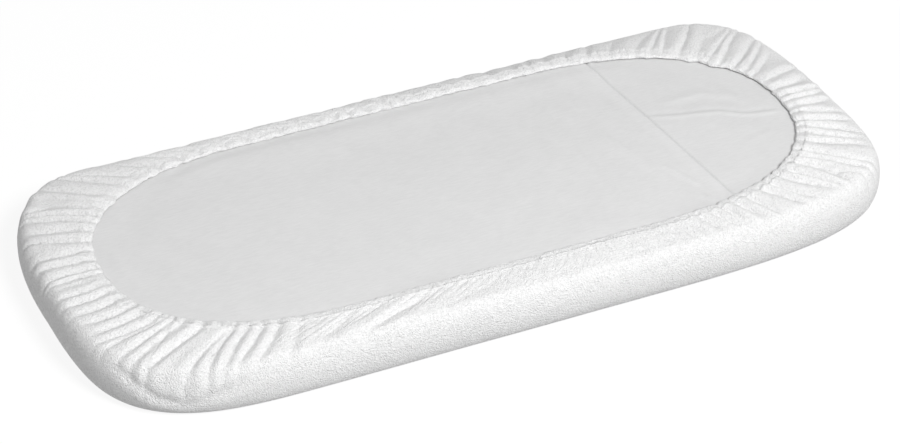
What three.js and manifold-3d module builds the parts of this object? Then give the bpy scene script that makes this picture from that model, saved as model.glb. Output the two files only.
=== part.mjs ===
// A cradle-size changing pad, lying on its sleeping side with the open side of its fitted cover up.
//
// Inside out: a foam core, a thin woven case with an overlapped closure on its underside, and a thick
// terry cover pulled over both. The cover's edge is bound by a folded casing that holds an elastic,
// and its four corners are taken in by dart seams.
//
// Millimetres. +X is the pad's length, +Y its width, +Z up. The origin is the middle of the surface
// that the pad lies on.
import * as THREE from "three";
import { mergeVertices } from "three/addons/utils/BufferGeometryUtils.js";
import Module from "manifold-3d";

const wasm = await Module();
wasm.setup();

// ---- driving dimensions -------------------------------------------------------------------------

const LENGTH = 900;
const WIDTH = 400;
const HEIGHT = 60;

const END_REACH = 220; // how far along the pad each rounded end starts
const END_POWER = 3.4; // 2 is an ellipse, and a larger power is a squarer end
const EDGE_LEAN = 14; // how far the rounded side comes in at its top and bottom

const OPENING_LENGTH = 774; // the cover's opening, inside the hem
const OPENING_WIDTH = 306;
const OPENING_REACH = 225;
const OPENING_POWER = 2.3;

const GAP = 0.3; // between pieces that touch
const TERRY = 2.5; // cover cloth
const COTTON = 0.8; // case cloth
const SEAM_WIDTH = 1.4; // a seam's thread and turned edges, seen from outside

const CASING_WIDTH = 12;
const CASING_CLOTH = 0.8;
const ELASTIC_WIDTH = 5;
const STITCH = 0.8; // thickness of the hem's row of thread
const JOIN_LENGTH = 6; // thread where the elastic's two ends are sewn

const CLOSURE_X = 246; // where the main underside panel ends, over the flap
const CLOSURE_SKEW = 0.09; // the closure's edge runs this much out of square
const CLOSURE_HEM = 14; // width turned under along the closure's edge
const FLAP_OVERLAP = 60; // how far the flap runs on under the main panel

const DART_X = 380; // a point on each corner's dart
const DART_Y = 135;
const DART_ANGLE = THREE.MathUtils.degToRad(41);

// ---- heights that follow ------------------------------------------------------------------------

const casingTop = HEIGHT;
const rimTop = casingTop - CASING_CLOTH - GAP;
const rimUnder = rimTop - TERRY;
const casingUnder = rimUnder - GAP - CASING_CLOTH;
const caseTop = casingUnder - GAP;
const caseBottom = TERRY + GAP;
const mainUnder = caseTop - COTTON;
const hemUnder = mainUnder - GAP - COTTON; // the turned-under edge of the main panel
const flapTop = hemUnder - GAP;
const foamTop = flapTop - COTTON - GAP;
const foamBottom = caseBottom + COTTON + GAP;

const coverInside = TERRY;
const caseOutside = coverInside + GAP;
const caseInside = caseOutside + COTTON;
const foamOutside = caseInside + GAP;
const seamOutside = EDGE_LEAN + GAP;
const seamInside = seamOutside + SEAM_WIDTH;
const panelOutside = seamInside + GAP;

// ---- solids -------------------------------------------------------------------------------------

const END_STEPS = 12; // points on a quarter of an outline
const EDGE_STEPS = 4; // rings from a side's middle to its top

function toSolid(geometry) {
  const bare = geometry.clone();
  bare.deleteAttribute("normal");
  bare.deleteAttribute("uv");
  const merged = mergeVertices(bare, 1e-4);
  const vertProperties = new Float32Array(merged.attributes.position.array);
  const triVerts = new Uint32Array(merged.index.array);
  return new wasm.Manifold(new wasm.Mesh({ numProp: 3, vertProperties, triVerts }));
}

function toGeometry(solid) {
  const mesh = solid.getMesh();
  const geometry = new THREE.BufferGeometry();
  geometry.setAttribute("position", new THREE.BufferAttribute(mesh.vertProperties, 3));
  geometry.setIndex(new THREE.BufferAttribute(mesh.triVerts, 1));
  geometry.computeVertexNormals();
  return geometry;
}

// A closed outline with straight sides and rounded, nearly square ends.
function outlinePoints(halfLength, halfWidth, reach, power) {
  const quarter = [];
  for (let i = 0; i <= END_STEPS; i += 1) {
    const t = (i / END_STEPS) * (Math.PI / 2);
    const x = halfLength - reach + reach * Math.max(Math.cos(t), 0) ** (2 / power);
    const y = halfWidth * Math.sin(t) ** (2 / power);
    quarter.push([i === END_STEPS ? halfLength - reach : x, y]);
  }
  const leftBack = quarter.map(([x, y]) => [-x, y]).reverse();
  const leftFront = quarter.slice(1).map(([x, y]) => [-x, -y]);
  const rightFront = quarter.slice(1).map(([x, y]) => [x, -y]).reverse();
  return [...quarter, ...leftBack.slice(0, -1), [-halfLength, 0], ...leftFront, ...rightFront]
    .map(([x, y]) => new THREE.Vector2(x, y));
}

function padOutline(inset) {
  return outlinePoints(LENGTH / 2 - inset, WIDTH / 2 - inset, END_REACH - inset, END_POWER);
}

function openingOutline(outset) {
  const reach = OPENING_REACH + outset;
  return outlinePoints(OPENING_LENGTH / 2 + outset, OPENING_WIDTH / 2 + outset, reach, OPENING_POWER);
}

function plate(points, bottom, top) {
  const geometry = new THREE.ExtrudeGeometry(new THREE.Shape(points), {
    depth: top - bottom,
    bevelEnabled: false,
  });
  geometry.translate(0, 0, bottom);
  return toSolid(geometry);
}

function ring(outer, inner, bottom, top) {
  return plate(outer, bottom, top).subtract(plate(inner, bottom - 1, top + 1));
}

// A solid whose side swells out between its flat bottom and its flat top, as a stuffed case does.
function swollen(inset, bottom, top) {
  const lean = EDGE_LEAN - inset;
  const flatSide = 1;
  const rise = (top - bottom - flatSide) / 2;
  const geometry = new THREE.ExtrudeGeometry(new THREE.Shape(padOutline(inset)), {
    depth: flatSide,
    bevelEnabled: true,
    bevelThickness: rise,
    bevelSize: lean,
    bevelOffset: -lean,
    bevelSegments: EDGE_STEPS,
  });
  geometry.translate(0, 0, bottom + rise);
  return toSolid(geometry);
}

// Everything with x below the line of the closure, moved by shift along X.
function leftOfClosure(shift) {
  const reach = LENGTH;
  const box = new THREE.BoxGeometry(reach, LENGTH, 2 * HEIGHT);
  box.translate(-reach / 2, 0, HEIGHT / 2);
  box.rotateZ(Math.atan(CLOSURE_SKEW));
  box.translate(CLOSURE_X + shift, 0, 0);
  return toSolid(box);
}

// ---- foam and case ------------------------------------------------------------------------------

function foamCore() {
  return swollen(foamOutside, foamBottom, foamTop);
}

function caseBorder() {
  const shell = swollen(caseOutside, caseBottom, caseTop)
    .subtract(swollen(caseInside, caseBottom + COTTON, caseTop - COTTON));
  return shell.subtract(plate(padOutline(EDGE_LEAN), 0, HEIGHT));
}

function caseFacePanel() {
  return plate(padOutline(panelOutside), caseBottom, caseBottom + COTTON);
}

function caseSeam(bottom) {
  return ring(padOutline(seamOutside), padOutline(seamInside), bottom, bottom + COTTON);
}

// The main underside panel, with its edge turned under along the closure.
function caseUndersidePanel() {
  const side = leftOfClosure(0);
  const panel = plate(padOutline(panelOutside), mainUnder, caseTop).intersect(side);
  const turned = plate(padOutline(panelOutside), hemUnder, hemUnder + COTTON)
    .intersect(side)
    .subtract(leftOfClosure(-CLOSURE_HEM));
  const fold = plate(padOutline(panelOutside), hemUnder, caseTop)
    .intersect(side)
    .subtract(leftOfClosure(-COTTON));
  return panel.add(turned).add(fold);
}

function caseClosureFlap() {
  return plate(padOutline(panelOutside), flapTop - COTTON, flapTop)
    .subtract(leftOfClosure(-FLAP_OVERLAP));
}

// ---- fitted cover -------------------------------------------------------------------------------

const binding = CASING_WIDTH + GAP;
const elasticStart = CASING_CLOTH + GAP;
const rimStart = elasticStart + ELASTIC_WIDTH + GAP;
const stitchStart = binding;

function coverShell() {
  return swollen(0, 0, rimTop)
    .subtract(swollen(coverInside, TERRY, rimUnder))
    .subtract(plate(openingOutline(rimStart), HEIGHT / 2, HEIGHT));
}

// A thin upright slab across one corner, above the cover's flat face.
function dartSlab(signX, signY, thickness) {
  const slab = new THREE.BoxGeometry(LENGTH / 3, thickness, HEIGHT);
  slab.rotateZ(signX * signY * DART_ANGLE);
  slab.translate(signX * DART_X, signY * DART_Y, HEIGHT / 2 + TERRY + GAP);
  return toSolid(slab);
}

const corners = [
  ["front_left", -1, -1],
  ["front_right", 1, -1],
  ["back_right", 1, 1],
  ["back_left", -1, 1],
];

// The dart starts outside the hem casing and runs over the edge to the foot of the side.
function dartReach() {
  return plate(openingOutline(stitchStart + STITCH + 1), 0, 2 * HEIGHT);
}

function terryCover() {
  let cover = coverShell();
  for (const [, signX, signY] of corners) {
    const slit = dartSlab(signX, signY, SEAM_WIDTH + 2 * GAP).subtract(dartReach());
    cover = cover.subtract(slit);
  }
  return cover;
}

function dartSeam(signX, signY) {
  const foot = plate(padOutline(-GAP), 0, TERRY + 2 * GAP);
  return coverShell()
    .intersect(dartSlab(signX, signY, SEAM_WIDTH))
    .subtract(plate(openingOutline(stitchStart + STITCH + 1 + GAP), 0, 2 * HEIGHT))
    .subtract(foot);
}

// A folded strip round the opening: closed at the opening's edge, open where the cover enters it.
function hemCasing() {
  const body = ring(openingOutline(CASING_WIDTH), openingOutline(0), casingUnder, casingTop);
  const channel = ring(
    openingOutline(CASING_WIDTH + 1),
    openingOutline(CASING_CLOTH),
    casingUnder + CASING_CLOTH,
    casingTop - CASING_CLOTH,
  );
  return body.subtract(channel);
}

function joinBox(length) {
  const box = new THREE.BoxGeometry(length, 4 * CASING_WIDTH, HEIGHT);
  box.translate(0, OPENING_WIDTH / 2, HEIGHT);
  return toSolid(box);
}

function elasticRing() {
  const outer = openingOutline(elasticStart + ELASTIC_WIDTH);
  return ring(outer, openingOutline(elasticStart), rimUnder, rimTop);
}

function elasticBand() {
  return elasticRing().subtract(joinBox(JOIN_LENGTH + 2 * GAP));
}

function elasticJoin() {
  return elasticRing().intersect(joinBox(JOIN_LENGTH));
}

function hemStitching() {
  const inner = openingOutline(stitchStart);
  const outer = openingOutline(stitchStart + STITCH);
  return ring(outer, inner, rimTop + GAP, rimTop + GAP + STITCH);
}

// ---- assembly -----------------------------------------------------------------------------------

const materials = {
  foam: { color: 0xe9e2c8, roughness: 0.95, metalness: 0 },
  case_cotton: { color: 0xe2e2e4, roughness: 0.85, metalness: 0 },
  terry: { color: 0xf4f3f1, roughness: 0.98, metalness: 0 },
  elastic: { color: 0xf2f2f2, roughness: 0.7, metalness: 0 },
  thread: { color: 0xf6f6f6, roughness: 0.6, metalness: 0 },
};

const pad = new THREE.Group();

function addPiece(group, name, material, solid) {
  const mesh = new THREE.Mesh(
    toGeometry(solid),
    new THREE.MeshStandardMaterial(materials[material]),
  );
  mesh.name = name;
  group.add(mesh);
}

const core = new THREE.Group();
addPiece(core, "foam_core", "foam", foamCore());
addPiece(core, "case_face_panel", "case_cotton", caseFacePanel());
addPiece(core, "case_border", "case_cotton", caseBorder());
addPiece(core, "case_underside_panel", "case_cotton", caseUndersidePanel());
addPiece(core, "case_closure_flap", "case_cotton", caseClosureFlap());
addPiece(core, "case_face_seam", "thread", caseSeam(caseBottom));
addPiece(core, "case_underside_seam", "thread", caseSeam(mainUnder));

const cover = new THREE.Group();
addPiece(cover, "terry_cover", "terry", terryCover());
addPiece(cover, "hem_casing", "terry", hemCasing());
addPiece(cover, "elastic_band", "elastic", elasticBand());
addPiece(cover, "elastic_join", "thread", elasticJoin());
addPiece(cover, "hem_stitching", "thread", hemStitching());
for (const [corner, signX, signY] of corners) {
  addPiece(cover, `dart_seam_${corner}`, "thread", dartSeam(signX, signY));
}

pad.add(core, cover);

export default pad;
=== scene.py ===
import math

import bmesh
import bpy
import numpy as np
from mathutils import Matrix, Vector


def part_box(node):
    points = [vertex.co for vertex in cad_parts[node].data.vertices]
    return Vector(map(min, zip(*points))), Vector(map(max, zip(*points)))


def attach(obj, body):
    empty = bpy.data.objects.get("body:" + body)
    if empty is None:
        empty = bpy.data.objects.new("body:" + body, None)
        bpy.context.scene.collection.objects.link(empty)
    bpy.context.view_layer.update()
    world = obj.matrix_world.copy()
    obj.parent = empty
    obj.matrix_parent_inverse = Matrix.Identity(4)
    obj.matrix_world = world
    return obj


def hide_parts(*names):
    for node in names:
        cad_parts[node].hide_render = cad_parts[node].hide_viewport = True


# A changing pad lying on its sleeping side. A white terry cover is pulled over it, and the cover's
# gathered opening, which is up, shows the plain underside of the pad's cotton case.
# Lengths are in millimetres until new_piece() makes a mesh of them, in metres.

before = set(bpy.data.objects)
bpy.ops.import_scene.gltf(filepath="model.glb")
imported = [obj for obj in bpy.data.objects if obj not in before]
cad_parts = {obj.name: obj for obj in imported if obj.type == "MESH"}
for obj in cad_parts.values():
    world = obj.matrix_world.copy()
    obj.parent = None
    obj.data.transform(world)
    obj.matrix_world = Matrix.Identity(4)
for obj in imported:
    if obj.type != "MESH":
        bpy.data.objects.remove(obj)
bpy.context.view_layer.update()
MM = 0.001


def as_lists(box):
    """A box's two corners as plain lists of numbers."""
    return [[float(c) for c in corner] for corner in box]


def high_corner(node):
    """A node's highest corner, in millimetres."""
    return np.array(as_lists(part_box(node))[1]) / MM


# ---- sizes taken from the frame ------------------------------------------------------------------

HALF_LENGTH, HALF_WIDTH, RIM_TOP = high_corner("terry_cover")
CASING_WIDTH = 12.0
HEM_HALF_LENGTH = high_corner("hem_casing")[0] - CASING_WIDTH
HEM_HALF_WIDTH = high_corner("hem_casing")[1] - CASING_WIDTH
PANEL_TOP = high_corner("case_underside_panel")[2]

# ---- shape of the pad and its opening ------------------------------------------------------------

COLUMNS = 1368  # round the pad, a multiple of 4
# Each corner of an outline, anticlockwise from the back right: how far its rounded part reaches
# along the side, and how square it is.
PAD_CORNERS = ((138.0, 3.3), (118.0, 2.7), (227.0, 3.25), (400.0, 4.4))
HEM_CORNERS = ((238.0, 2.33), (222.0, 2.33), (222.0, 2.33), (238.0, 2.33))
BACK_SWELL = 1.01  # how much wider the pad is behind its middle line than in front of it
HEM_TO_BACK = 5.0  # the opening is this far behind the middle of the pad
STITCH_INSET = 3.0  # from the hem's outer edge to its stitches
WALL_LEAN = 14.0  # how far the rounded side comes in at its top
WALL_POWER = 2.0
CLOTH = 2.2  # the terry's thickness
COTTON = 0.8  # the case's thickness
CLOSURE_X = 243.5  # where the closure's edge crosses the pad's middle line
CLOSURE_SKEW = 0.09  # how far it is from square across, as a slope
OUTLINE_STEPS = 3000


def smooth(low, high, x):
    """0 below low, 1 above high, and a smooth rise between."""
    t = np.clip((np.asarray(x, float) - low) / (high - low), 0, 1)
    return t * t * (3 - 2 * t)


def quarter(half_length, half_width, corner, inset):
    """A quarter of an outline, from the end's middle to the side's middle, in even steps."""
    reach, power = max(corner[0] - inset, 1.0), corner[1]
    half_length, half_width = half_length - inset, half_width - inset
    t = np.linspace(0, math.pi / 2, OUTLINE_STEPS)
    x = np.append(half_length - reach + reach * np.cos(t) ** (2 / power), 0.0)
    y = np.append(half_width * np.sin(t) ** (2 / power), half_width)
    length = np.append(0, np.cumsum(np.hypot(np.diff(x), np.diff(y))))
    at = np.linspace(0, length[-1], COLUMNS // 4 + 1)
    return np.stack([np.interp(at, length, x), np.interp(at, length, y)], 1)


def outline(half_length, half_width, corners, inset=0.0):
    """A closed outline, anticlockwise from the middle of the right end."""
    parts = [quarter(half_length, half_width, corner, inset) for corner in corners]
    return np.concatenate([
        parts[0][:-1],
        parts[1][:0:-1] * (-1, 1),
        parts[2][:-1] * (-1, -1),
        parts[3][:0:-1] * (1, -1),
    ])


def pad_outline(inset=0.0):
    """The pad's outline, or a smaller one inside it."""
    points = outline(HALF_LENGTH, HALF_WIDTH, PAD_CORNERS, inset)
    points[:, 1] *= np.where(points[:, 1] > 0, BACK_SWELL, 1)
    return points


def outward(points):
    """The outward direction at each point of a closed anticlockwise outline."""
    along = np.roll(points, -3, 0) - np.roll(points, 3, 0)
    across = np.stack([along[:, 1], -along[:, 0]], 1)
    return across / np.linalg.norm(across, axis=1, keepdims=True)


def at_columns(values, columns):
    """Values of a closed loop read at fractional columns."""
    low = np.floor(columns).astype(int)
    part = (columns - low)[:, None]
    return values[low % COLUMNS] * (1 - part) + values[(low + 1) % COLUMNS] * part


NOISE_VALUES = 4096
NOISE_PRIMES = (73856093, 19349663, 83492791)


def lattice_noise(points, size, seed):
    """Smooth noise from -1 to 1, with lumps about size across."""
    table = np.random.default_rng(seed).uniform(-1, 1, NOISE_VALUES)
    p = np.asarray(points, float) / size
    cell = np.floor(p).astype(np.int64)
    f = p - cell
    f = f * f * (3 - 2 * f)
    total = 0.0
    for corner in range(2 ** p.shape[-1]):
        weight, key = 1.0, 0
        for axis, prime in zip(range(p.shape[-1]), NOISE_PRIMES):
            bit = corner >> axis & 1
            weight = weight * (f[..., axis] if bit else 1 - f[..., axis])
            key = key ^ (cell[..., axis] + bit) * prime
        total = total + weight * table[key % NOISE_VALUES]
    return total


# ---- meshes --------------------------------------------------------------------------------------


def grid_faces(rows, columns, wrap_rows=False, wrap_columns=True):
    """The four-cornered faces of a grid of points."""
    r = np.arange(rows if wrap_rows else rows - 1)
    c = np.arange(columns if wrap_columns else columns - 1)
    r, c = (v.ravel() for v in np.meshgrid(r, c, indexing="ij"))
    r2, c2 = (r + 1) % rows, (c + 1) % columns
    return np.stack([r * columns + c, r * columns + c2, r2 * columns + c2, r2 * columns + c], 1)


def new_piece(name, points, faces, weld=False):
    """A smooth mesh in metres from points in millimetres, riding on the one body."""
    mesh = bpy.data.meshes.new(name)
    mesh.from_pydata((points.reshape(-1, 3) * MM).tolist(), [], faces)
    bm = bmesh.new()
    bm.from_mesh(mesh)
    if weld:
        bmesh.ops.remove_doubles(bm, verts=bm.verts, dist=1e-6)
    bmesh.ops.recalc_face_normals(bm, faces=bm.faces)
    bm.to_mesh(mesh)
    bm.free()
    mesh.polygons.foreach_set("use_smooth", [True] * len(mesh.polygons))
    piece = bpy.data.objects.new(name, mesh)
    bpy.context.scene.collection.objects.link(piece)
    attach(piece, "root")
    return piece


def slab(name, sheet, offset):
    """A closed sheet with its own thickness: an open grid of points, and the same grid offset."""
    rows, columns = sheet.shape[:2]
    points = np.stack([sheet, sheet + offset])
    top = grid_faces(rows, columns, wrap_columns=False)
    under = top[:, ::-1] + rows * columns
    edge = np.concatenate([
        np.arange(columns),
        np.arange(1, rows) * columns + columns - 1,
        (rows - 1) * columns + np.arange(columns - 2, -1, -1),
        np.arange(rows - 2, 0, -1) * columns,
    ])
    after = np.roll(edge, -1)
    sides = np.stack([edge, edge + rows * columns, after + rows * columns, after], 1)
    return new_piece(name, points, np.concatenate([top, under, sides]).tolist())


# ---- the cover's gathers -------------------------------------------------------------------------

hem = outline(HEM_HALF_LENGTH, HEM_HALF_WIDTH, HEM_CORNERS)
hem[:, 1] += HEM_TO_BACK
hem_out = outward(hem)
stitch_line = hem + hem_out * (CASING_WIDTH - STITCH_INSET)
rim_edge_all = pad_outline()
rim_out_all = outward(rim_edge_all)
hem_step = np.linalg.norm(np.roll(stitch_line, -1, 0) - stitch_line, axis=1).mean()
pad_step = np.linalg.norm(np.roll(rim_edge_all, -1, 0) - rim_edge_all, axis=1).mean()
across_hem = (hem[:, 1] - HEM_TO_BACK) / HEM_HALF_WIDTH
angle = np.degrees(np.arctan2(across_hem, hem[:, 0] / HEM_HALF_LENGTH))

# The gathers at angles round the opening, anticlockwise from the middle of the right end: their
# spacing at the hem, how far they reach as a share of the rim's width, their depth, how far round
# the pad their outer ends are dragged from straight out (anticlockwise is positive), and how wide
# the valleys between them are.
GATHERS = np.array([
    (-180, 12.5, 1.15, 4.8, -8, 0.9),
    (-156, 12.5, 1.15, 4.8, -22, 0.9),
    (-132, 12.5, 1.05, 2.6, -70, 0.9),
    (-120, 14.0, 1.00, 0.9, -78, 0.9),
    (-110, 14.0, 0.90, 0.8, -76, 0.9),
    (-100, 12.0, 0.80, 0.8, -60, 0.9),
    (-91, 11.0, 0.60, 0.5, -36, 0.9),
    (-82, 11.0, 0.60, 0.7, -16, 0.9),
    (-74, 12.0, 0.70, 1.4, 6, 0.9),
    (-66, 14.0, 0.90, 3.4, 12, 1.0),
    (-56, 15.0, 1.00, 5.2, 12, 1.0),
    (-40, 14.0, 1.05, 6.0, 17, 1.05),
    (-25, 12.0, 1.05, 5.8, 4, 1.0),
    (-8, 12.5, 1.05, 6.2, 2, 1.0),
    (12, 13.0, 1.05, 5.8, 14, 0.95),
    (27, 15.0, 1.05, 5.0, 18, 0.9),
    (36, 19.0, 1.00, 3.4, 0, 0.9),
    (48, 21.0, 1.00, 3.2, -12, 1.0),
    (66, 21.0, 1.05, 3.2, -2, 1.0),
    (90, 22.0, 1.10, 3.8, 22, 1.0),
    (118, 22.0, 1.10, 5.2, 44, 0.9),
    (133, 18.0, 1.10, 6.0, 30, 0.9),
    (150, 15.0, 1.10, 5.8, 6, 0.85),
    (166, 13.0, 1.10, 5.2, -7, 0.85),
])


def gather_at(degrees, column):
    """A column of the table above, read between its rows."""
    return np.interp(degrees, GATHERS[:, 0], GATHERS[:, column], period=360)


MOST_SHIFT = 200  # columns


def straight_across(points, out, edge):
    """The fractional column of an outer outline straight out from each column of an inner one."""
    column = np.arange(COLUMNS)
    shift = np.arange(-MOST_SHIFT, MOST_SHIFT + 1)
    gap = edge[(column[:, None] + shift) % COLUMNS] - points[:, None]
    side = out[:, None, 0] * gap[:, :, 1] - out[:, None, 1] * gap[:, :, 0]
    first = np.argmax(side > 0, axis=1)
    before, after = side[column, first - 1], side[column, first]
    return column + shift[first] - after / (after - before)


def round_smooth(values, reach):
    """Values of a closed loop, each averaged with its neighbours."""
    weights = np.hanning(2 * reach + 3)[1:-1]
    padded = np.concatenate([values[-reach:], values, values[:reach]])
    return np.convolve(padded, weights / weights.sum(), "valid")


MATCH_SMOOTHING = 24  # columns
straight_out = straight_across(hem, hem_out, rim_edge_all)
turned = straight_out - np.arange(COLUMNS) + gather_at(angle, 4) / pad_step
matching = np.arange(COLUMNS) + round_smooth(turned, MATCH_SMOOTHING)
rim_edge = at_columns(rim_edge_all, matching)
rim_out = at_columns(rim_out_all, matching)


def wall_inset(height):
    """How far the side has come in at a height from 0 to 1."""
    from_middle = np.abs(2 * height - 1)
    return WALL_LEAN * (1 - (1 - from_middle ** WALL_POWER) ** (1 / WALL_POWER))


RIM_ROWS = 30
WALL_ROWS = 23
FACE_ROWS = 8
RIM_FALL = 2.2  # the rim is lower at the pad's edge than beside the hem
BACK_FALL = 5.6  # and lower still along the back
EDGE_START = math.radians(80)
EDGE_SMOOTHING = 4  # passes
CREST = RIM_TOP + 0.8  # the rim's highest level, just outside the hem


def to_back(y):
    """0 along the pad's front, rising to 1 along its back."""
    return smooth(-60, 130, y)


def cover_base():
    """Rows of points down the outside of the cover: over the rim, down the side, under the face."""
    rows = []
    edge_height = RIM_TOP - RIM_FALL - BACK_FALL * to_back(rim_edge[:, 1])
    top_share = 0.5 + 0.5 * math.sin(EDGE_START)
    edge_top = rim_edge - rim_out * wall_inset(top_share)
    for r in np.linspace(0, 1, RIM_ROWS, endpoint=False):
        plan = stitch_line * (1 - r) + edge_top * r
        height = CREST + (edge_height * top_share - CREST) * r ** 1.5
        rows.append(np.column_stack([plan, np.full(COLUMNS, height)]))
    for a in np.linspace(EDGE_START, -math.pi / 2, WALL_ROWS):
        height = 0.5 + 0.5 * math.sin(a)
        plan = rim_edge - rim_out * wall_inset(height)
        rows.append(np.column_stack([plan, np.full(COLUMNS, height * edge_height)]))
    for f in np.linspace(0, 1, FACE_ROWS + 1)[1:]:
        inset = WALL_LEAN + f * (HALF_WIDTH - WALL_LEAN)
        ring = at_columns(pad_outline(inset), matching) if f < 1 else pad_outline(inset)
        rows.append(np.column_stack([ring, np.zeros(COLUMNS)]))
    rows = np.array(rows)
    for _ in range(EDGE_SMOOTHING):  # rounds off the change from rim to side
        rows[1:-1] = (rows[:-2] + 2 * rows[1:-1] + rows[2:]) / 4
    return rows


def row_normals(rows):
    """Outward unit normals of a closed band of rows."""
    down = np.gradient(rows, axis=0)
    along = np.roll(rows, -2, 1) - np.roll(rows, 2, 1)
    normal = np.cross(down, along)
    return normal / np.maximum(np.linalg.norm(normal, axis=2, keepdims=True), 1e-9)


def surface_distance(rows):
    """How far down the surface each point is from the first row."""
    steps = np.linalg.norm(np.diff(rows, axis=0), axis=2)
    return np.concatenate([np.zeros((1, COLUMNS)), np.cumsum(steps, 0)])


RIM_ROUNDING = 6.0  # how much of the width in plan is the rounded edge
rim_width = np.linalg.norm(rim_edge - stitch_line, axis=1) - RIM_ROUNDING
PLACED_TO = -232.0  # the front gathers to the left of this are listed one by one below


def make_pleats():
    """The creases between the long pleats, as rows of column, depth and reach."""
    rng = np.random.default_rng(7)
    creases = []
    at = 0.0
    while at < COLUMNS - 3:
        degrees = angle[int(at)]
        x, y = hem[int(at)]
        placed = y < -12 and x < PLACED_TO
        depth = 0.0 if placed else gather_at(degrees, 3) * rng.uniform(0.6, 1.25)
        reach = gather_at(degrees, 2) * rim_width[int(at)] * rng.uniform(0.8, 1.15)
        creases.append((at, depth, reach))
        at += gather_at(degrees, 1) * rng.uniform(0.65, 1.4) / hem_step
    creases.append((COLUMNS, *creases[0][1:]))
    return np.array(creases)


def make_puckers():
    """Short creases beside the hem, as (column, depth, width)."""
    rng = np.random.default_rng(8)
    at = np.cumsum(rng.uniform(3.5, 8.0, 400)) / hem_step
    return [(a, rng.uniform(0.5, 1.4), rng.uniform(1.3, 2.1)) for a in at if a < COLUMNS - 2]


VALLEYS = gather_at(angle, 5)
# At the two ends of the pad, each pleat is steeper on its side towards the front.
LEAN = 1 - 0.28 * np.cos(np.radians(angle))
PLEATS = make_pleats()
PUCKERS = make_puckers()


def long_pleats(distance):
    """Rounded pleats with sharp creases between them."""
    step = hem_step + (pad_step - hem_step) * np.clip(distance / 60, 0, 1)
    phase = np.arange(COLUMNS) * 0.11
    drift = 0.12 * np.sin(phase) + 0.08 * np.sin(2.3 * phase + 1)
    column = np.arange(COLUMNS) + (drift * distance + np.sin(distance / 12 + phase)) / step
    column = column % COLUMNS
    k = np.searchsorted(PLEATS[:, 0], column, side="right") - 1
    k = np.minimum(k, len(PLEATS) - 2)
    share = (column - PLEATS[k, 0]) / (PLEATS[k + 1, 0] - PLEATS[k, 0])
    depth = PLEATS[k, 1] * (1 - share) + PLEATS[k + 1, 1] * share
    reach = PLEATS[k, 2] * (1 - share) + PLEATS[k + 1, 2] * share
    size = np.clip((PLEATS[k + 1, 0] - PLEATS[k, 0]) * hem_step / 12, 0.5, 1.2)
    fade = 1 - smooth(0.5 * reach, 1.15 * reach, distance)
    grow = 0.6 + 0.4 * smooth(0, 12, distance)
    ridge = np.sin(np.pi * share ** LEAN) ** VALLEYS
    return depth * size * fade * grow * (ridge - 0.6)


CREASE_LEAN = 0.25


def crease_profile(offset, width):
    """1 in the crease and 0 well away from it, steeper on one side."""
    side = np.where(offset > 0, 1 + CREASE_LEAN, 1 - CREASE_LEAN)
    return np.exp(-np.abs(offset / (width * side)) ** 1.15)


PUCKER_REACH = 10  # columns
PUCKER_LIMIT = 2.5


def puckers(distance):
    """The short creases beside the hem."""
    sink = np.zeros(distance.shape)
    for at, depth, width in PUCKERS:
        near = np.abs(np.arange(COLUMNS) - at) < PUCKER_REACH
        offset = (np.arange(COLUMNS)[near] - at) * hem_step
        fade = 1 - smooth(3, 6 + 5 * depth, distance[:, near])
        sink[:, near] += depth * fade * (crease_profile(offset, width) - 0.3)
    return -PUCKER_LIMIT * np.tanh(sink / PUCKER_LIMIT)


def gathers(distance):
    """How far the gathered cloth stands from its smooth shape, at each row and column."""
    return long_pleats(distance) + puckers(distance)


FAR = 1e6


def beside_line(x, y, line):
    """For each point, the share of the way along a line of points, and the distance to its left."""
    line = np.array(line, float)
    steps = np.diff(line, axis=0)
    lengths = np.hypot(*steps.T)
    along = np.zeros(x.shape)
    across = np.full(x.shape, FAR)
    nearest = np.full(x.shape, FAR)
    done = 0.0
    for k, (start, step, length) in enumerate(zip(line, steps, lengths)):
        ux, uy = step / length
        t = (x - start[0]) * ux + (y - start[1]) * uy
        side = -(x - start[0]) * uy + (y - start[1]) * ux
        low = -FAR if k == 0 else 0.0
        high = FAR if k == len(steps) - 1 else length
        inside = np.clip(t, low, high)
        gap = np.hypot(t - inside, side)
        closer = gap < nearest
        nearest = np.where(closer, gap, nearest)
        along = np.where(closer, (done + inside) / lengths.sum(), along)
        across = np.where(closer, np.copysign(gap, side), across)
        done += length
    return along, across


# The deep gathers at the front left corner, each a line in plan from the hem to the pad's edge,
# its depth and its width.
CORNER_GATHERS = [
    ([(-396, -18), (-416, -19), (-444, -16)], 3.0, 2.8),
    ([(-392, -31), (-414, -34), (-445, -32)], 3.2, 3.0),
    ([(-388, -47), (-412, -51), (-442, -50)], 2.8, 2.8),
    ([(-378, -63), (-404, -68), (-433, -68)], 3.2, 3.0),
    ([(-378, -79), (-400, -83), (-433, -86)], 3.0, 3.0),
    ([(-360, -88), (-378, -96), (-403, -99), (-433, -100)], 3.2, 3.0),
    ([(-356, -95), (-384, -103), (-405, -105), (-435, -114)], 2.8, 2.8),
    ([(-345, -96), (-362, -105), (-384, -114), (-425, -133)], 3.4, 3.2),
    ([(-340, -106), (-358, -114), (-382, -127), (-420, -149)], 2.4, 3.6),
    ([(-322, -112), (-333, -123), (-381, -146), (-400, -156), (-423, -175)], 4.0, 3.4),
    ([(-312, -137), (-338, -154), (-357, -168), (-373, -182), (-381, -196)], 3.4, 3.8),
    ([(-305, -138), (-335, -164), (-349, -183), (-361, -201), (-374, -208)], 4.4, 3.6),
    ([(-290, -140), (-310, -159), (-324, -176), (-341, -194), (-348, -206)], 3.6, 3.6),
    ([(-273, -140), (-294, -164), (-312, -179), (-328, -198)], 3.4, 3.6),
    ([(-259, -144), (-272, -163), (-293, -183), (-307, -199)], 3.2, 3.6),
    ([(-240, -152), (-257, -178), (-272, -200)], 2.4, 3.8),
]

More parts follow.
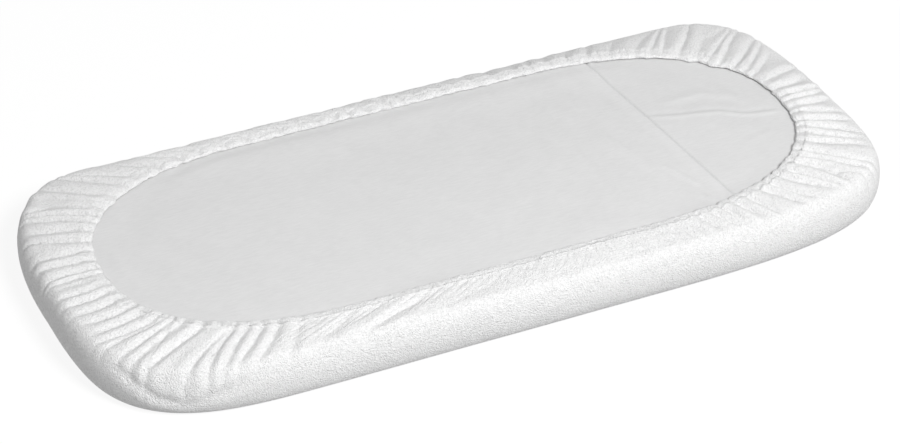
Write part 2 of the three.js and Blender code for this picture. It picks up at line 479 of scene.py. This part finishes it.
# Wrinkles where the cover is pulled askew, in the same form.
DRAGS = [
    ([(-106, -165), (-141, -173), (-210, -201)], 1.5, 5.0),
    ([(-118, -168), (-167, -182), (-214, -198)], 1.6, 4.5),
    ([(-192, -165), (-230, -184)], 2.2, 4.5),
    ([(-142, -152), (-190, -174)], 1.6, 4.5),
    ([(-42, -172), (-122, -192)], 0.8, 6.0),
    ([(58, -178), (-32, -194)], 0.6, 7.0),
    ([(188, -174), (78, -188)], 0.7, 7.0),
]


PULL_LIMIT = 5.5


def pulled_lines(x, y, lines):
    """Valleys along lines, with the cloth standing up on both sides of each."""
    lift = np.zeros(x.shape)
    for line, depth, width in lines:
        along, across = beside_line(x, y, line)
        taper = smooth(-0.12, 0.10, along) * (1 - smooth(0.62, 1.15, along))
        valley = crease_profile(across, width)
        ridge = np.exp(-((np.abs(across) - 2.2 * width) / (1.5 * width)) ** 2)
        lift += taper * depth * (0.38 * ridge - valley)
    return PULL_LIMIT * np.tanh(lift / PULL_LIMIT)


# Creases across the side of the front left corner, in the same form, but in x and height.
CORNER_SIDE_CREASES = [
    ([(-424, 47), (-409, 35), (-396, 25), (-366, 18)], 2.6, 4.5),
    ([(-374, 40), (-374, 24)], 1.8, 3.5),
    ([(-366, 18), (-352, 27), (-329, 32), (-302, 43)], 1.6, 5.0),
]

# Each corner's dart: where it starts at the hem and where it reaches the pad's edge, in plan.
DARTS = {
    "front_left": ((-352, -98), (-412, -165)),
    "front_right": ((326, -115), (398, -159)),
    "back_right": ((372, 101), (413, 153)),
    "back_left": ((-348, 115), (-404, 163)),
}
DART_DEPTH = 1.0


def nearest_column(points, target):
    return int(np.argmin(np.linalg.norm(points - np.array(target), axis=1)))


def dart_columns(name):
    """The column that a dart has reached at each row. It goes straight down from the pad's edge."""
    start, end = DARTS[name]
    first = nearest_column(stitch_line, start)
    last = nearest_column(rim_edge, end)
    last += COLUMNS * round((first - last) / COLUMNS)
    share = np.clip(np.arange(RIM_ROWS + WALL_ROWS + FACE_ROWS) / RIM_ROWS, 0, 1)
    return first + (last - first) * share


def dart_grooves(distance, level):
    """A sewn groove at each dart, puckered along both sides. It is fainter down the pad's side."""
    lift = np.zeros(distance.shape)
    column = np.arange(COLUMNS)
    for index, name in enumerate(DARTS):
        at = dart_columns(name)[:, None]
        offset = ((column - at + COLUMNS / 2) % COLUMNS - COLUMNS / 2) * pad_step
        fade = smooth(5, 16, level) * (0.35 + 0.65 * smooth(40, 54, level))
        groove = np.exp(-(np.abs(offset) / 1.6) ** 1.3)
        shoulder = np.exp(-((np.abs(offset) - 5) / 4) ** 2)
        pucker = np.sin(distance / 3.3 + 2 * index) * np.exp(-(offset / 9) ** 2)
        lift += fade * (0.5 * shoulder - DART_DEPTH * groove + 0.3 * pucker)
    return lift


# ---- terry cover ---------------------------------------------------------------------------------

base = cover_base()
normals = row_normals(base)
normals[-FACE_ROWS:] = (0, 0, -1)
distance = surface_distance(base)
swell = lattice_noise(base, 70, 3) * 0.8 + lattice_noise(base, 26, 4) * 0.3
terry_lumps = lattice_noise(base, 9, 5) * 0.10 + lattice_noise(base, 4.2, 6) * 0.05
plan_x, plan_y, level = base[:, :, 0], base[:, :, 1], base[:, :, 2]
shape = gathers(distance) + dart_grooves(distance, level) + swell
pulled = pulled_lines(plan_x, plan_y, CORNER_GATHERS + DRAGS)
shape += pulled * smooth(26, 54, level) * (0.6 + 0.4 * smooth(0, 12, distance))
front_side = (plan_y < -100) * smooth(4, 14, level) * (1 - smooth(46, 54, level))
shape += pulled_lines(plan_x, level, CORNER_SIDE_CREASES) * front_side
shape += terry_lumps * smooth(0, 4, distance)
shape[-FACE_ROWS:] = 0
shape *= smooth(1, 7, level)
outer = base + normals * shape[:, :, None]
outer[:, :, 2] = np.maximum(outer[:, :, 2], 0)
INNER_EVERY = 6  # outer rows for each row of the cover's inner side


def cover_piece():
    """The whole cover, as one cloth with two sides that meet at the hem."""
    rows = len(outer)
    inner_rows = np.unique(np.append(np.arange(0, rows, INNER_EVERY), rows - 1))
    inner = outer[inner_rows] - normals[inner_rows] * CLOTH
    points = np.concatenate([outer, inner])
    faces = grid_faces(rows, COLUMNS)
    inside = grid_faces(len(inner_rows), COLUMNS)[:, ::-1] + rows * COLUMNS
    first = np.arange(COLUMNS)
    after = np.roll(first, -1)
    hem_side = np.stack([first, rows * COLUMNS + first, rows * COLUMNS + after, after], 1)
    faces = np.concatenate([faces, inside, hem_side]).tolist()
    piece = new_piece("terry_cover_cloth", points, faces, weld=True)
    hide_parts("terry_cover")
    return piece


cover = cover_piece()

# ---- hem, elastic and stitches -------------------------------------------------------------------

HEM_HEIGHT = 4.0
HEM_CLEARANCE = 0.05
HEM_MIDDLE = PANEL_TOP + HEM_CLEARANCE + HEM_HEIGHT / 2
NEAR_HEM = 3.0  # the distance down the cover at which its gathers also shape the hem
crease_at_hem = gathers(np.full((1, COLUMNS), NEAR_HEM))[0]
crease_at_hem = crease_at_hem + pulled_lines(*stitch_line.T, CORNER_GATHERS)
column_line = np.arange(COLUMNS) * hem_step


def ring_noise(size, seed):
    """Noise along the hem that joins up with itself."""
    turns = column_line / column_line[-1] * 2 * math.pi
    radius = column_line[-1] / (2 * math.pi)
    circle = np.stack([radius * np.cos(turns), radius * np.sin(turns)], 1)
    return lattice_noise(circle, size, seed)


# The hem is a little higher at the right end, and lumpy at the back right, where it is joined.
right_end = smooth(-40, -8, angle) * (1 - smooth(30, 55, angle))
hem_lift = 0.1 * right_end + 0.25 * ring_noise(30, 11)
HEM_JOIN = (350, 100)
HEM_JOIN_WIDTH = 26
from_join = column_line - column_line[nearest_column(hem, HEM_JOIN)]
seam_bump = np.exp(-(np.abs(from_join) / HEM_JOIN_WIDTH) ** 2.5)


def squarer(value):
    """A sine or cosine changed so that a circle becomes a slightly squarer oval."""
    return math.copysign(abs(value) ** 0.8, value)


def hem_section(turn):
    """One line of points along the hem's folded tunnel, at an angle round its section. It is
    thick round the elastic, thin at the stitches, and meets the cover's surface there."""
    across, up = squarer(math.cos(turn)), squarer(math.sin(turn))
    half_width = CASING_WIDTH / 2 + 0.3 + 1.2 * seam_bump
    taper = 1 - 0.85 * smooth(-0.1, 1, across)
    half_height = HEM_HEIGHT / 2 * taper + 0.9 * seam_bump * (1 + ring_noise(7, 81))
    ruffle = 0.6 * ring_noise(6.5, 21 + round(turn * 2)) + 0.4 * ring_noise(3.4, 40 + round(turn * 3))
    pinch = np.minimum(crease_at_hem, 0)
    out = half_width * (1 + across) - 0.6 + ruffle * (across < 0.3) - 0.35 * pinch * max(-across, 0)
    scallops = (1.0 + 1.6 * seam_bump) * ring_noise(5.5, 77) + 3.0 * seam_bump * ring_noise(14, 78)
    out -= 2.8 * seam_bump + scallops * max(-across, 0)
    rise = HEM_MIDDLE + 0.5 * (across + 1) + hem_lift + up * half_height
    rise = rise + max(up, 0) * ((0.8 + 0.2 * across) * crease_at_hem + ruffle)
    joined = smooth(0.1, 1, across) if up < 0 else smooth(-0.1, 0.6, across)
    rise = rise * (1 - joined) + joined * (outer[1][:, 2] + 0.05 - 0.9 * (1 - up))
    rise = rise + 0.3 * ring_noise(9, 31) * (up < 0)
    plan = hem + hem_out * out[:, None]
    return np.column_stack([plan, np.maximum(rise, PANEL_TOP - 0.4)])


def hem_piece():
    """The folded hem that holds the elastic."""
    section = np.linspace(0, 2 * math.pi, 26, endpoint=False)
    points = np.array([hem_section(turn) for turn in section])
    faces = grid_faces(len(section), COLUMNS, wrap_rows=True).tolist()
    piece = new_piece("hem_tunnel", points, faces)
    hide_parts("hem_casing")
    return piece


hem_tunnel = hem_piece()


def band(name, near, far, half_thickness, columns):
    """A flat strip inside the hem, between two distances from its edge, along some columns."""
    rows = []
    low, high = -half_thickness, half_thickness
    for out, height in ((near, low), (far, low), (far, high), (near, high)):
        wave = 0.25 * np.sin(column_line / 2.1)
        plan = hem + hem_out * out
        rows.append(np.column_stack([plan, HEM_MIDDLE + hem_lift + height + wave]))
    points = np.array(rows)[:, columns]
    count = len(columns)
    ends = np.array([[0, 1, 2, 3], [3, 2, 1, 0]]) * count + np.array([[0], [count - 1]])
    sides = grid_faces(4, count, wrap_rows=True, wrap_columns=False)
    return new_piece(name, points, np.concatenate([sides, ends]).tolist())


BACK_MIDDLE = COLUMNS // 4
JOIN_COLUMNS = 3
all_but_join = np.arange(BACK_MIDDLE + JOIN_COLUMNS, BACK_MIDDLE + COLUMNS - JOIN_COLUMNS + 1) % COLUMNS
at_join = np.arange(BACK_MIDDLE - JOIN_COLUMNS + 1, BACK_MIDDLE + JOIN_COLUMNS)
elastic = band("elastic_strip", near=2.6, far=7.6, half_thickness=0.5, columns=all_but_join)
elastic_join = band("elastic_join_stitches", near=2.8, far=7.4, half_thickness=0.7, columns=at_join)
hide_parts("elastic_band")
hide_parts("elastic_join")


def thread(name, path, radius, stitch, pause):
    """A row of short stitches along a line of points, each a small closed bead of thread."""
    length = np.append(0, np.cumsum(np.linalg.norm(np.diff(path, axis=0), axis=1)))
    starts = np.arange(0, length[-1] - stitch, stitch + pause)
    sides, rings = 6, 5
    turn = np.linspace(0, 2 * math.pi, sides, endpoint=False)
    points, faces = [], []
    for count, start in enumerate(starts):
        t = np.linspace(0, 1, rings)
        line = np.stack([np.interp(start + t * stitch, length, path[:, k]) for k in range(3)], 1)
        along = line[-1] - line[0]
        along /= np.linalg.norm(along)
        side = np.cross(along, (0, 0, 1.0))
        side /= np.linalg.norm(side)
        top = np.cross(side, along)
        thick = radius * np.sqrt(np.sin(np.pi * (0.06 + 0.88 * t)))
        arch = radius * 0.7 * np.sin(np.pi * t)
        ring = np.cos(turn)[:, None] * side + np.sin(turn)[:, None] * top
        bead = (line + arch[:, None] * top)[:, None] + thick[:, None, None] * ring
        points.append(bead.reshape(-1, 3))
        first = count * rings * sides
        last = first + (rings - 1) * sides
        faces += (grid_faces(rings, sides) + first).tolist()
        faces += [list(range(end, end + sides)) for end in (first, last)]
    piece = new_piece(name, np.concatenate(points), faces)
    return piece


STITCH_ROW = 2
HEM_STITCH_SUNK = 0.2
DART_STITCH_PROUD = 0.15


def hem_stitches_piece():
    """The row of stitches that closes the hem, a little sunk in the terry."""
    path = outer[STITCH_ROW] - normals[STITCH_ROW] * HEM_STITCH_SUNK
    path = np.vstack([path, path[:1]])
    piece = thread("hem_stitches", path, radius=0.32, stitch=2.6, pause=0.9)
    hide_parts("hem_stitching")
    return piece


def dart_piece(name):
    """A corner dart's stitches, from the hem to near the foot of the side."""
    columns = dart_columns(name)
    path = []
    for row in range(STITCH_ROW, RIM_ROWS + WALL_ROWS - 5):
        column = columns[row:row + 1]
        proud = at_columns(normals[row], column)[0] * DART_STITCH_PROUD
        path.append(at_columns(outer[row], column)[0] + proud)
    piece = thread("dart_stitches_" + name, np.array(path), radius=0.35, stitch=2.8, pause=0.7)
    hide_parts("dart_seam_" + name)
    return piece


hem_stitches = hem_stitches_piece()
dart_pieces = [dart_piece(name) for name in DARTS]

# ---- case and foam -------------------------------------------------------------------------------

# Folds in the case's underside: a line in plan, how high the fold stands and its width.
FOLDS = [
    ([(402, -15), (368, -13), (342, -7), (317, 10), (276, 20), (238, 32)], 1.0, 3.2),
    ([(274, 50), (316, 51), (355, 26)], 0.7, 6.5),
    ([(337, 58), (350, 14)], 0.6, 5.0),
    ([(354, -44), (310, -54)], 0.3, 4.5),
    ([(215, -55), (231, -100)], 1.0, 3.4),
    ([(229, -120), (238, -148)], 0.9, 3.0),
    ([(148, 144), (152, -130)], 0.55, 5.0),
    ([(158, 88), (210, -82)], 0.6, 6.0),
    ([(170, 138), (190, -32)], 0.5, 5.0),
    ([(180, 118), (220, -22)], 0.4, 5.0),
    ([(118, 98), (126, -62)], 0.35, 6.0),
    ([(33, 127), (34, 57)], 0.4, 5.0),
    ([(6, -91), (12, -122)], 0.4, 4.0),
    ([(82, -62), (90, -132)], 0.35, 5.0),
    ([(-331, -11), (-318, -62), (-302, -98)], 0.7, 8.0),
    ([(-367, 41), (-368, -14)], 0.7, 6.0),
]


OPENING_STRAIGHT = 165.0  # half the length of the opening's straight stretch
OPENING_END = 222.0  # the length of each of its round ends
RIM_PRESS = 3.0  # how far the rim presses the pad's edge down, before the fall to the back


def beyond_hem(x, y):
    """1 at the opening's edge, and more outside it."""
    past_straight = np.maximum(np.abs(x) - OPENING_STRAIGHT, 0)
    return np.hypot(past_straight / OPENING_END, (y - HEM_TO_BACK) / HEM_HALF_WIDTH)


def edge_fall(x, y):
    """How much lower the pad is under the gathered rim, which presses it down."""
    return (RIM_PRESS + BACK_FALL * to_back(y)) * smooth(1.04, 1.2, beyond_hem(x, y))


def lowered(ring, height):
    """Points at a height over a ring in plan, lower in proportion where the edge has fallen."""
    return np.column_stack([ring, height * (1 - edge_fall(*ring.T) / PANEL_TOP)])


def underside_shape(x, y):
    """Height of the case's underside above its plain level."""
    plan = np.stack([x, y], -1)
    back_bulge = np.exp(-((y - 139) / 18) ** 2) * (1 - smooth(200, 330, np.abs(x)))
    level = 1.1 * back_bulge
    level += 0.9 * lattice_noise(plan, 120, 51) + 0.3 * lattice_noise(plan, 42, 52)
    level += 0.12 * lattice_noise(plan * (0.35, 0.09), 6, 53) * smooth(-80, 160, x)
    for line, height, width in FOLDS:
        along, across = beside_line(x, y, line)
        taper = smooth(-0.12, 0.18, along) * (1 - smooth(0.78, 1.12, along))
        ridge = np.exp(-(across / width) ** 2)
        hollow = np.exp(-((across + 1.8 * width) / (1.2 * width)) ** 2)
        level += taper * height * (ridge - 0.5 * hollow)
    return level * (1 - smooth(0.9, 1.0, beyond_hem(x, y))) - edge_fall(x, y)


EDGE = 16.0  # how far inside the pad's edge its underside ends
PANEL_COLUMNS = 150


def width_at(x, right, left):
    """The width of the case's underside on one side of its middle line, at x."""
    across = 1.0
    for along, (reach, power) in ((x, right), (-x, left)):
        rounded = np.clip((along - (HALF_LENGTH - reach)) / (reach - EDGE), 0, 1)
        across = across * (1 - rounded ** power) ** (1 / power)
    return (HALF_WIDTH - EDGE) * np.maximum(across, 0.02)


def panel_grid(x, height):
    """A grid over the case's underside at positions x along it, slanted near the closure."""
    t = np.linspace(-1, 1, PANEL_COLUMNS)
    back = width_at(x, PAD_CORNERS[0], PAD_CORNERS[1])[:, None] * np.maximum(t, 0)
    front = width_at(x, PAD_CORNERS[3], PAD_CORNERS[2])[:, None] * np.minimum(t, 0)
    y = back + front
    past = x - CLOSURE_X
    slant = smooth(-180, -60, past) * (1 - smooth(60, 150, past))
    x = x[:, None] - CLOSURE_SKEW * y * slant[:, None]
    return np.stack([x, y, height + underside_shape(x, y)], -1)


END_X = HALF_LENGTH - EDGE - 1.0
FOLD_WIDTH = 14.0  # of the main panel's turned hem
FOLD_GAP = COTTON / 2 + 0.25  # from the middle of the panel to the middle of its fold
EDGE_DROOP = 0.7  # how far the folded edge presses into the pad
MIDDLE = PANEL_TOP - COTTON / 2


def main_panel():
    """The main panel's middle surface, with a hem turned under along the closure."""
    x = np.concatenate([np.linspace(-END_X, CLOSURE_X - 26, 285), CLOSURE_X - np.linspace(25, 0, 30)])
    sheet = panel_grid(x, MIDDLE)
    from_edge = (CLOSURE_X - x)[:, None]
    sheet[:, :, 2] += 0.3 * (1 - smooth(9, 18, from_edge)) - EDGE_DROOP * np.exp(-(from_edge / 2.2) ** 2)
    rows = list(sheet)
    for turn in np.linspace(0, math.pi, 8)[1:]:
        row = sheet[-1].copy()
        row[:, 0] += FOLD_GAP * math.sin(turn)
        row[:, 2] -= FOLD_GAP * (1 - math.cos(turn))
        rows.append(row)
    for above in sheet[-2:-17:-2]:
        rows.append(above - (0, 0, 2 * FOLD_GAP))
    return np.array(rows)


def flap_panel():
    """The flap's middle surface: under the main panel's fold, and level with it beyond."""
    x = np.concatenate([
        np.linspace(CLOSURE_X - 60, CLOSURE_X - 8, 16),
        CLOSURE_X + np.linspace(-7, 9, 33),
        np.linspace(CLOSURE_X + 11, END_X, 80),
    ])
    sheet = panel_grid(x, MIDDLE)
    past_edge = (x - CLOSURE_X)[:, None]
    under = -2.1 - EDGE_DROOP * np.exp(-(past_edge / 2.2) ** 2)  # below the turned hem
    beyond = -0.45
    sheet[:, :, 2] += under + (beyond - under) * smooth(0.6, 4.6, past_edge)
    return sheet


def solid_sheet(name, rows, thickness):
    """A closed sheet round a middle surface of rows."""
    down = np.gradient(rows, axis=0)
    along = np.gradient(rows, axis=1)
    normal = np.cross(down, along)
    normal /= np.maximum(np.linalg.norm(normal, axis=2, keepdims=True), 1e-9)
    return slab(name, rows + normal * thickness / 2, -normal * thickness)


underside = solid_sheet("case_main_panel", main_panel(), COTTON * 0.8)
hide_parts("case_underside_panel")

flap = solid_sheet("case_flap", flap_panel(), COTTON * 0.8)
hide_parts("case_closure_flap")


def mark_double_cloth(piece, from_x):
    """Stores where a panel lies over its own turned hem, for the material."""
    mesh = piece.data
    points = np.empty(len(mesh.vertices) * 3)
    mesh.vertices.foreach_get("co", points)
    x, y = points.reshape(-1, 3)[:, 0] / MM, points.reshape(-1, 3)[:, 1] / MM
    share = smooth(from_x - 3, from_x + 3, x + CLOSURE_SKEW * y)
    mark = mesh.attributes.new("double_cloth", "FLOAT", "POINT")
    mark.data.foreach_set("value", share)


mark_double_cloth(underside, CLOSURE_X - FOLD_WIDTH)


INNER_STEP = 4  # the pieces inside the cover keep one column in four


def shell_rows(inset, low, high, rows):
    """Rows of points down a rounded side from its top edge to its bottom edge."""
    points = []
    for a in np.linspace(math.pi / 2, -math.pi / 2, rows):
        height = 0.5 + 0.5 * math.sin(a)
        share = wall_inset(height) / WALL_LEAN
        ring = pad_outline(inset + share * (WALL_LEAN - inset))
        points.append(lowered(ring, low + (high - low) * height))
    return np.array(points)[:, ::INNER_STEP]


CASE_LOW, CASE_HIGH = CLOTH + 0.8, PANEL_TOP - 3.4
SKIN = CLOTH + 1.6  # from the pad's outline to the case's side


def border_piece():
    """The case's side band, a closed ring of cloth."""
    outside = shell_rows(SKIN, CASE_LOW, CASE_HIGH, rows=18)
    inside = shell_rows(SKIN + COTTON, CASE_LOW + COTTON, CASE_HIGH - COTTON, rows=18)
    points = np.concatenate([outside, inside[::-1]])
    faces = grid_faces(len(points), points.shape[1], wrap_rows=True).tolist()
    piece = new_piece("case_side_band", points, faces)
    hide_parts("case_border")
    return piece


border = border_piece()
SEAM_INSET = WALL_LEAN + 1.5
SEAM_RADIUS = 0.6
SEAM_SIDES = 8


def seam_roll(name, height, node):
    """A seam's rolled edge: a thin closed ring of thread and cloth."""
    centre = pad_outline(SEAM_INSET)[::INNER_STEP]
    out = outward(centre)
    level = lowered(centre, height)[:, 2]
    rows = []
    for a in np.linspace(0, 2 * math.pi, SEAM_SIDES, endpoint=False):
        ring = centre + out * SEAM_RADIUS * math.cos(a)
        rows.append(np.column_stack([ring, level + SEAM_RADIUS * math.sin(a)]))
    faces = grid_faces(SEAM_SIDES, len(centre), wrap_rows=True).tolist()
    piece = new_piece(name, np.array(rows), faces)
    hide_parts(node)
    return piece


seam_low = seam_roll("case_face_seam_roll", CASE_LOW + 0.5, "case_face_seam")
seam_high = seam_roll("case_underside_seam_roll", CASE_HIGH - 0.1, "case_underside_seam")


def medial_rows(inset_from, height, count):
    """Rings from an inset outline to the pad's middle line."""
    rows = []
    for f in np.linspace(0, 1, count):
        ring = pad_outline(inset_from + f * (HALF_WIDTH - inset_from))[::INNER_STEP]
        rows.append(lowered(ring, height))
    return np.array(rows)


FACE_INSET = WALL_LEAN + 3


def face_panel():
    """The case's panel on the sleeping side, as one cloth with two sides."""
    low = medial_rows(FACE_INSET, CASE_LOW, count=12)
    high = medial_rows(FACE_INSET, CASE_LOW + COTTON, count=12)
    points = np.concatenate([low[::-1], high])
    faces = grid_faces(len(points), low.shape[1]).tolist()
    piece = new_piece("case_sleeping_panel", points, faces, weld=True)
    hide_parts("case_face_panel")
    return piece


case_face = face_panel()


FOAM_GAP = 0.5
PORE_SIZE, PORE_DEPTH = 5, 0.25


def foam_piece():
    """The foam block that fills the case."""
    low, high = CASE_LOW + COTTON + FOAM_GAP, CASE_HIGH - COTTON - FOAM_GAP
    side = shell_rows(SKIN + COTTON + 0.6, low, high, rows=20)
    top = medial_rows(WALL_LEAN, high, count=14)[1:][::-1]
    under = medial_rows(WALL_LEAN, low, count=14)[1:]
    points = np.concatenate([top, side, under])
    pores = lattice_noise(points, PORE_SIZE, 61) * PORE_DEPTH
    points[1:-1, :, 2] += pores[1:-1] * 0.6
    faces = grid_faces(len(points), points.shape[1]).tolist()
    piece = new_piece("foam_block", points, faces, weld=True)
    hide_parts("foam_core")
    return piece


foam = foam_piece()

# ---- materials -----------------------------------------------------------------------------------


WAVE_BANDS = 3.18  # bands of the wave texture per unit, at a scale of 1


class Nodes:
    """Short calls for building a material's nodes."""

    def __init__(self, name):
        self.material = bpy.data.materials.new(name)
        self.material.use_nodes = True
        self.tree = self.material.node_tree
        self.tree.nodes.clear()
        self.place = self.add("ShaderNodeTexCoord").outputs["Object"]
        self.shader = self.add("ShaderNodeBsdfPrincipled")
        output = self.add("ShaderNodeOutputMaterial")
        self.join(self.shader.outputs["BSDF"], output.inputs["Surface"])

    def add(self, kind, **settings):
        node = self.tree.nodes.new(kind)
        for key, value in settings.items():
            setattr(node, key, value)
        return node

    def join(self, source, target):
        self.tree.links.new(source, target)

    def stretched(self, x, y, z):
        node = self.add("ShaderNodeMapping")
        node.inputs["Scale"].default_value = (x, y, z)
        self.join(self.place, node.inputs["Vector"])
        return node.outputs["Vector"]

    def noise(self, size_mm, detail=2.0, rough=0.5, place=None):
        node = self.add("ShaderNodeTexNoise")
        node.inputs["Scale"].default_value = 1 / (size_mm * MM)
        node.inputs["Detail"].default_value = detail
        node.inputs["Roughness"].default_value = rough
        self.join(place or self.place, node.inputs["Vector"])
        return node.outputs["Fac"]

    def cells(self, size_mm, place=None):
        node = self.add("ShaderNodeTexVoronoi")
        node.inputs["Scale"].default_value = 1 / (size_mm * MM)
        self.join(place or self.place, node.inputs["Vector"])
        return node.outputs["Distance"]

    def wave(self, size_mm, axis, distortion=0.0):
        node = self.add("ShaderNodeTexWave", bands_direction=axis)
        node.inputs["Scale"].default_value = 1 / (size_mm * MM) / WAVE_BANDS
        node.inputs["Distortion"].default_value = distortion
        self.join(self.place, node.inputs["Vector"])
        return node.outputs["Fac"]

    def math(self, operation, a, b):
        node = self.add("ShaderNodeMath", operation=operation)
        for value, socket in zip((a, b), node.inputs):
            if isinstance(value, (int, float)):
                socket.default_value = value
            else:
                self.join(value, socket)
        return node.outputs[0]

    def ramp(self, value, stops):
        node = self.add("ShaderNodeValToRGB")
        while len(node.color_ramp.elements) < len(stops):
            node.color_ramp.elements.new(0.5)
        for element, (position, colour) in zip(node.color_ramp.elements, stops):
            element.position = position
            element.color = (*colour, 1)
        self.join(value, node.inputs["Fac"])
        return node.outputs["Color"]

    def bump(self, height, depth_mm, after=None):
        node = self.add("ShaderNodeBump")
        node.inputs["Strength"].default_value = 1.0
        node.inputs["Distance"].default_value = depth_mm * MM
        self.join(height, node.inputs["Height"])
        if after:
            self.join(after, node.inputs["Normal"])
        return node.outputs["Normal"]

    def finish(self, colour, normal, rough, sheen=0.0, sheen_rough=0.5):
        self.join(colour, self.shader.inputs["Base Color"])
        self.join(normal, self.shader.inputs["Normal"])
        if isinstance(rough, float):
            self.shader.inputs["Roughness"].default_value = rough
        else:
            self.join(rough, self.shader.inputs["Roughness"])
        self.shader.inputs["Sheen Weight"].default_value = sheen
        self.shader.inputs["Sheen Roughness"].default_value = sheen_rough
        self.shader.inputs["Specular IOR Level"].default_value = 0.25
        return self.material


def grey(value):
    return (value, value, value)


def terry_material():
    """Short loops of white cotton, as a soft, uneven bump with a faint sheen."""
    m = Nodes("terry_loops")
    loops = m.cells(1.5)
    fuzz = m.noise(1.1, 2, 0.6)
    tufts = m.noise(2.4, 2, 0.6)
    height = m.math("SUBTRACT", fuzz, m.math("MULTIPLY", loops, 0.7))
    tone = m.math("ADD", m.math("MULTIPLY", tufts, 0.45), m.math("MULTIPLY", fuzz, 0.55))
    colour = m.ramp(tone, [(0.38, grey(0.80)), (0.5, grey(0.94)), (0.62, grey(0.99))])
    normal = m.bump(tufts, 0.5, m.bump(height, 1.35))
    rough = m.math("ADD", 0.9, m.math("MULTIPLY", fuzz, 0.1))
    return m.finish(colour, normal, rough, sheen=0.2, sheen_rough=0.6)


def cotton_material():
    """A plain white weave with slubs, a little lighter where the cloth is double."""
    m = Nodes("case_cotton_weave")
    warp = m.wave(0.5, "X", 1.0)
    weft = m.wave(0.5, "Y", 1.0)
    weave = m.math("MULTIPLY", warp, weft)
    slubs = m.noise(1.7, 3, 0.6, m.stretched(0.16, 1, 1))
    cloud = m.noise(30, 3, 0.6)
    tone = m.math("ADD", m.math("MULTIPLY", slubs, 0.7), m.math("MULTIPLY", cloud, 0.3))
    double = m.add("ShaderNodeAttribute", attribute_name="double_cloth").outputs["Fac"]
    tone = m.math("ADD", tone, m.math("MULTIPLY", double, 0.09))
    colour = m.ramp(tone, [(0.3, grey(0.71)), (0.9, grey(0.81))])
    normal = m.bump(slubs, 0.22, m.bump(weave, 0.08))
    rough = m.math("ADD", 0.8, m.math("MULTIPLY", slubs, 0.1))
    return m.finish(colour, normal, rough, sheen=0.1, sheen_rough=0.5)


def thread_material():
    m = Nodes("sewing_thread")
    twist = m.wave(0.35, "DIAGONAL", 0.5)
    fuzz = m.noise(0.5, 2, 0.5)
    colour = m.ramp(fuzz, [(0.3, grey(0.88)), (0.7, grey(0.95))])
    return m.finish(colour, m.bump(twist, 0.08), 0.6, sheen=0.1)


def elastic_material():
    m = Nodes("braided_elastic")
    ribs = m.wave(0.9, "X", 0.4)
    knit = m.noise(0.6, 2, 0.5)
    colour = m.ramp(knit, [(0.3, grey(0.80)), (0.7, grey(0.88))])
    return m.finish(colour, m.bump(ribs, 0.2), 0.65)


def foam_material():
    m = Nodes("open_cell_foam")
    cells = m.cells(1.1)
    grain = m.noise(2.5, 3, 0.6)
    colour = m.ramp(grain, [(0.3, (0.78, 0.72, 0.55)), (0.7, (0.86, 0.81, 0.66))])
    return m.finish(colour, m.bump(cells, 0.5), 0.95)


def dress(pieces, material):
    """Gives each piece one material."""
    for piece in pieces:
        piece.data.materials.clear()
        piece.data.materials.append(material)


dress([cover, hem_tunnel], terry_material())
dress([underside, flap, border, case_face], cotton_material())
dress([hem_stitches, elastic_join, seam_low, seam_high, *dart_pieces], thread_material())
dress([elastic], elastic_material())
dress([foam], foam_material())

# ---- floor, light and camera ---------------------------------------------------------------------

FLOOR_GREY = 0.16
FLOOR_GLOW = 0.86
ROOM_LIGHT = 0.46
KEY_PLACE = (0.4, -2.42, 2.47)
KEY_POWER = 93


def stage():
    """A pale floor that glows, so that it stays almost white round the pad."""
    bpy.ops.mesh.primitive_plane_add(size=30, location=(0, 0, -0.0005))
    floor = bpy.context.object
    floor.name = "floor"
    material = bpy.data.materials.new("pale_floor")
    material.use_nodes = True
    shader = material.node_tree.nodes["Principled BSDF"]
    shader.inputs["Base Color"].default_value = (*grey(FLOOR_GREY), 1)
    shader.inputs["Emission Color"].default_value = (1, 1, 1, 1)
    shader.inputs["Emission Strength"].default_value = FLOOR_GLOW
    shader.inputs["Roughness"].default_value = 1.0
    shader.inputs["Specular IOR Level"].default_value = 0.0
    floor.data.materials.append(material)
    floor.visible_diffuse = False


def area_light(name, place, target, size, power):
    light = bpy.data.lights.new(name, "AREA")
    light.shape = "RECTANGLE"
    light.size, light.size_y = size
    light.energy = power
    lamp = bpy.data.objects.new(name, light)
    lamp.location = place
    lamp.rotation_euler = (Vector(target) - Vector(place)).to_track_quat("-Z", "Y").to_euler()
    bpy.context.scene.collection.objects.link(lamp)


def lights():
    world = bpy.data.worlds.new("soft_room")
    world.use_nodes = True
    sky = world.node_tree.nodes["Background"]
    sky.inputs["Color"].default_value = (1, 1, 1, 1)
    sky.inputs["Strength"].default_value = ROOM_LIGHT
    bpy.context.scene.world = world
    area_light("key", KEY_PLACE, target=(0, 0, 0), size=(1.0, 1.0), power=KEY_POWER)


AZIMUTH, ELEVATION, ROLL = -0.447, 0.619, 0.014
DISTANCE = 3.4419
TARGET = Vector((0.0003, 0.0132, 0.0))
FOCAL = 131.07


def camera():
    """The camera looks at the target from the front left, and down."""
    back = Vector((
        math.sin(AZIMUTH) * math.cos(ELEVATION),
        -math.cos(AZIMUTH) * math.cos(ELEVATION),
        math.sin(ELEVATION),
    ))
    data = bpy.data.cameras.new("camera")
    data.lens = FOCAL
    data.sensor_width = 36
    data.clip_end = 100
    eye = bpy.data.objects.new("camera", data)
    eye.location = TARGET + back * DISTANCE
    eye.rotation_euler = back.to_track_quat("Z", "Y").to_euler()
    eye.rotation_euler.rotate_axis("Z", ROLL)
    bpy.context.scene.collection.objects.link(eye)
    bpy.context.scene.camera = eye


stage()
lights()
camera()
bpy.context.scene.view_settings.view_transform = "Standard"

bpy.context.view_layer.update()
